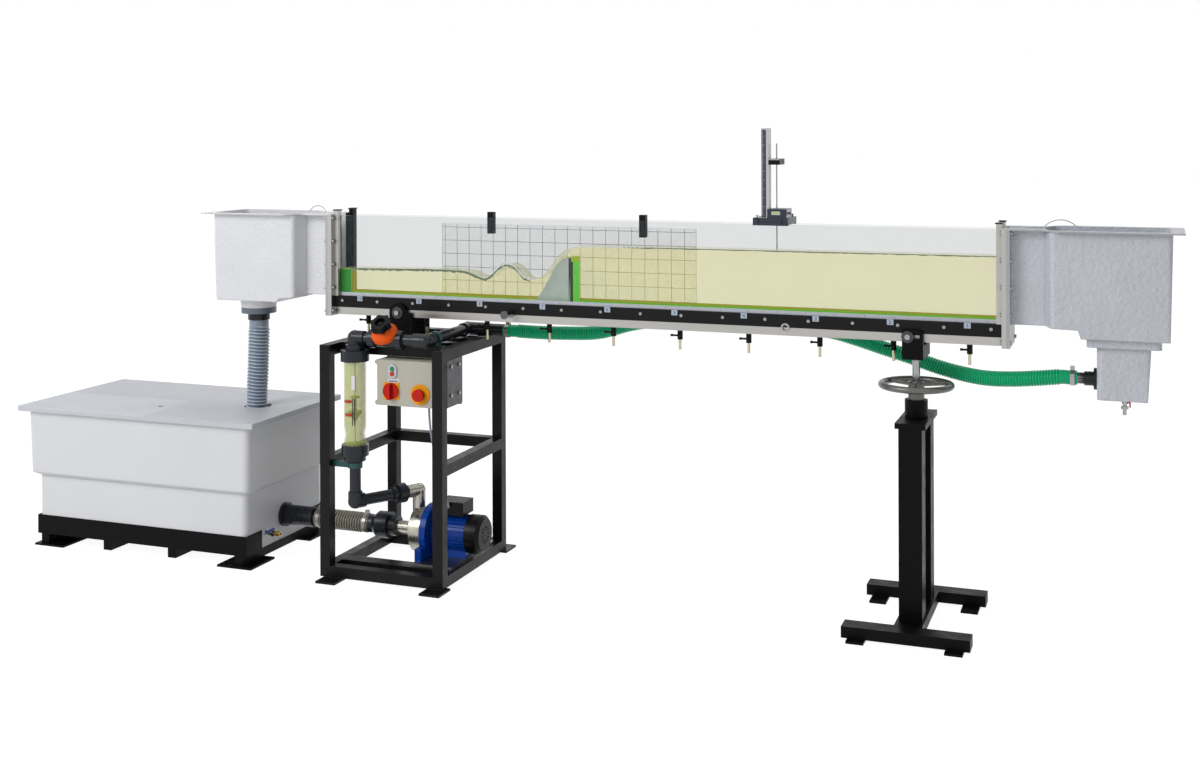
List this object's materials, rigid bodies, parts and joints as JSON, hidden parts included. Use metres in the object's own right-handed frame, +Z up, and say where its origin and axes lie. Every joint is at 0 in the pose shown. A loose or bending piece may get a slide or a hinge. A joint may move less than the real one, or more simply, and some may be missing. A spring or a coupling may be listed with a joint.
{
  "type": "hydraulic flume",
  "caption": "Tilting glass-sided laboratory flume with tank, pump frame, flow meter, hoses, end vessels, level gauge, weir and a screw jack stand.",
  "frame": {"origin": "on the ground, at the middle of the bounding box", "axes": "+X along the channel towards the inlet end, +Y away from the operator, +Z up"},
  "size_m": [4.312, 0.67, 1.6483],
  "materials": {
    "tank_white": "satin moulded",
    "black_steel": "satin powder coat",
    "frame_grey": "satin powder coat",
    "lid_grey": "satin",
    "hatch_grey": "satin",
    "valve_metal": "satin",
    "lever_blue": "dipped",
    "pipe_grey": "smooth",
    "hose_clear": "ribbed, cloudy",
    "steel": "satin",
    "motor_blue": "gloss paint",
    "black_plastic": "satin",
    "meter_clear": "clear, faintly yellow",
    "float_grey": "smooth",
    "valve_orange": "smooth",
    "box_beige": "fine texture",
    "switch_red": "smooth",
    "key_green": "smooth",
    "cable_grey": "smooth",
    "wheel_grey": "satin cast",
    "stainless": "brushed",
    "rail_black": "satin anodised",
    "pane_glass": "polished",
    "vessel_grey": "gel coat",
    "vessel_white": "gel coat",
    "fitting_mix": "black fittings and bright clamps",
    "lever_red": "dipped",
    "hose_grey": "ribbed",
    "hose_green": "ribbed, transparent",
    "tap_mix": "black body and brass nozzle",
    "gauge_dark": "anodised",
    "slider_black": "satin",
    "weir_clear": "smooth",
    "seal_green": "smooth",
    "bright_bolts": "polished"
  },
  "bodies": {
    "base": {"tank_body": "tank_white", "tank_base": "black_steel", "tank_lid": "lid_grey", "tank_drain_valve": "valve_metal", "pvc_pipework": "pipe_grey", "suction_hose": "hose_clear", "hose_clamps": "steel", "pump_volute": "steel", "pump_adapter": "motor_blue", "motor_housing": "motor_blue", "fan_cowl": "black_plastic", "terminal_box": "black_plastic", "pump_plate": "steel", "discharge_elbow": "steel", "rotameter_tube": "meter_clear", "valve_bonnet": "valve_orange", "control_box": "box_beige", "motor_cable": "cable_grey", "pump_frame": "frame_grey", "pivot_bearing": "black_steel", "stand_frame": "black_steel", "bearing_housing": "black_steel", "supply_hose": "hose_green"},
    "hatch": {"tank_hatch": "hatch_grey"},
    "drain_lever": {"tank_drain_lever": "lever_blue"},
    "rotor": {"pump_rotor": "steel"},
    "float": {"rotameter_float": "float_grey"},
    "valve_wheel": {"valve_handwheel": "black_plastic"},
    "main_switch": {"main_switch_knob": "switch_red"},
    "emergency_stop": {"estop_button": "switch_red"},
    "start_key": {"start_button": "key_green"},
    "stop_key": {"stop_button": "switch_red"},
    "jack_wheel": {"stand_handwheel": "wheel_grey"},
    "jack": {"jack_spindle": "black_steel"},
    "flume": {"channel_bed": "stainless", "side_rails": "rail_black", "side_panes": "pane_glass", "end_frames": "stainless", "inlet_element": "vessel_grey", "outlet_element": "vessel_white", "end_fittings": "fitting_mix", "outlet_hose": "hose_grey", "tap_valves": "tap_mix", "ogee_weir": "weir_clear", "weir_seals": "seal_green", "flume_bolts": "bright_bolts", "glass_clamps": "black_plastic"},
    "inlet_lever": {"inlet_drain_lever": "lever_red"},
    "carriage": {"gauge_carriage": "gauge_dark"},
    "slider": {"gauge_slider": "slider_black"},
    "tap_lever_1": {"tap_handle_1": "black_plastic"},
    "tap_lever_2": {"tap_handle_2": "black_plastic"},
    "tap_lever_3": {"tap_handle_3": "black_plastic"},
    "tap_lever_4": {"tap_handle_4": "black_plastic"},
    "tap_lever_5": {"tap_handle_5": "black_plastic"},
    "tap_lever_6": {"tap_handle_6": "black_plastic"},
    "tap_lever_7": {"tap_handle_7": "black_plastic"},
    "tap_lever_8": {"tap_handle_8": "black_plastic"},
    "tap_lever_9": {"tap_handle_9": "black_plastic"},
    "tap_lever_10": {"tap_handle_10": "black_plastic"}
  },
  "joints": [
    {"name": "jack_wheel_turn", "type": "hinge", "parent": "base", "child": "jack_wheel", "pos_m": [1.32, 0, 0.79], "axis": [0, 0, -1], "range_deg": [-680, 4080]},
    {"name": "channel_tilt", "type": "hinge", "parent": "base", "child": "flume", "pos_m": [-0.587, 0, 0.96], "axis": [0, -1, 0], "range_deg": [-0.28, 1.71], "deforming": ["supply_hose"]},
    {"name": "jack_lift", "type": "slide", "parent": "base", "child": "jack", "axis": [0, 0, 1], "range_m": [-0.0096, 0.057]},
    {"name": "hatch_lift", "type": "slide", "parent": "base", "child": "hatch", "axis": [0, 0, 1], "range_m": [0, 0.15]},
    {"name": "tank_drain_turn", "type": "hinge", "parent": "base", "child": "drain_lever", "pos_m": [-1.096, -0.135, 0.118], "axis": [0, 0, 1], "range_deg": [0, 90]},
    {"name": "pump_spin", "type": "hinge", "parent": "base", "child": "rotor", "pos_m": [-0.5, -0.008, 0.14], "axis": [1, 0, 0], "continuous": true},
    {"name": "float_rise", "type": "slide", "parent": "base", "child": "float", "axis": [0, 0, 1], "range_m": [-0.08, 0.12]},
    {"name": "valve_turn", "type": "hinge", "parent": "base", "child": "valve_wheel", "pos_m": [-0.544, -0.24, 0.885], "axis": [0, -0.6157, 0.788], "range_deg": [-360, 720]},
    {"name": "main_switch_turn", "type": "hinge", "parent": "base", "child": "main_switch", "pos_m": [-0.531, -0.24, 0.697], "axis": [0, 1, 0], "range_deg": [0, 90]},
    {"name": "emergency_stop_press", "type": "slide", "parent": "base", "child": "emergency_stop", "axis": [0, 1, 0], "range_m": [0, 0.004]},
    {"name": "start_press", "type": "slide", "parent": "base", "child": "start_key", "axis": [0, 1, 0], "range_m": [0, 0.003], "stiffness_N_per_m": 400},
    {"name": "stop_press", "type": "slide", "parent": "base", "child": "stop_key", "axis": [0, 1, 0], "range_m": [0, 0.003], "stiffness_N_per_m": 400},
    {"name": "inlet_drain_turn", "type": "hinge", "parent": "flume", "child": "inlet_lever", "pos_m": [1.99, 0, 0.776], "axis": [-1, 0, 0], "range_deg": [0, 90]},
    {"name": "carriage_travel", "type": "slide", "parent": "flume", "child": "carriage", "axis": [1, 0, 0], "range_m": [-0.4, 0.64]},
    {"name": "slider_travel", "type": "slide", "parent": "carriage", "child": "slider", "axis": [0, 0, 1], "range_m": [-0.145, 0.1]},
    {"name": "tap_turn_1", "type": "hinge", "parent": "flume", "child": "tap_lever_1", "pos_m": [1.495, -0.02, 0.918], "axis": [0, -1, 0], "range_deg": [0, 90]},
    {"name": "tap_turn_2", "type": "hinge", "parent": "flume", "child": "tap_lever_2", "pos_m": [1.245, -0.02, 0.918], "axis": [0, -1, 0], "range_deg": [0, 90]},
    {"name": "tap_turn_3", "type": "hinge", "parent": "flume", "child": "tap_lever_3", "pos_m": [0.995, -0.02, 0.918], "axis": [0, -1, 0], "range_deg": [0, 90]},
    {"name": "tap_turn_4", "type": "hinge", "parent": "flume", "child": "tap_lever_4", "pos_m": [0.745, -0.02, 0.918], "axis": [0, -1, 0], "range_deg": [0, 90]},
    {"name": "tap_turn_5", "type": "hinge", "parent": "flume", "child": "tap_lever_5", "pos_m": [0.495, -0.02, 0.918], "axis": [0, -1, 0], "range_deg": [0, 90]},
    {"name": "tap_turn_6", "type": "hinge", "parent": "flume", "child": "tap_lever_6", "pos_m": [0.245, -0.02, 0.918], "axis": [0, -1, 0], "range_deg": [0, 90]},
    {"name": "tap_turn_7", "type": "hinge", "parent": "flume", "child": "tap_lever_7", "pos_m": [-0.005, -0.02, 0.918], "axis": [0, -1, 0], "range_deg": [0, 90]},
    {"name": "tap_turn_8", "type": "hinge", "parent": "flume", "child": "tap_lever_8", "pos_m": [-0.255, -0.02, 0.918], "axis": [0, -1, 0], "range_deg": [0, 90]},
    {"name": "tap_turn_9", "type": "hinge", "parent": "flume", "child": "tap_lever_9", "pos_m": [-0.505, -0.02, 0.918], "axis": [0, -1, 0], "range_deg": [0, 90]},
    {"name": "tap_turn_10", "type": "hinge", "parent": "flume", "child": "tap_lever_10", "pos_m": [-0.755, -0.02, 0.918], "axis": [0, -1, 0], "range_deg": [0, 90]}
  ],
  "couplings": [
    {"joint": "jack_wheel_turn", "follows": "channel_tilt", "ratio": 2376.3},
    {"joint": "jack_lift", "follows": "channel_tilt", "m_per_rad": 1.891}
  ]
}
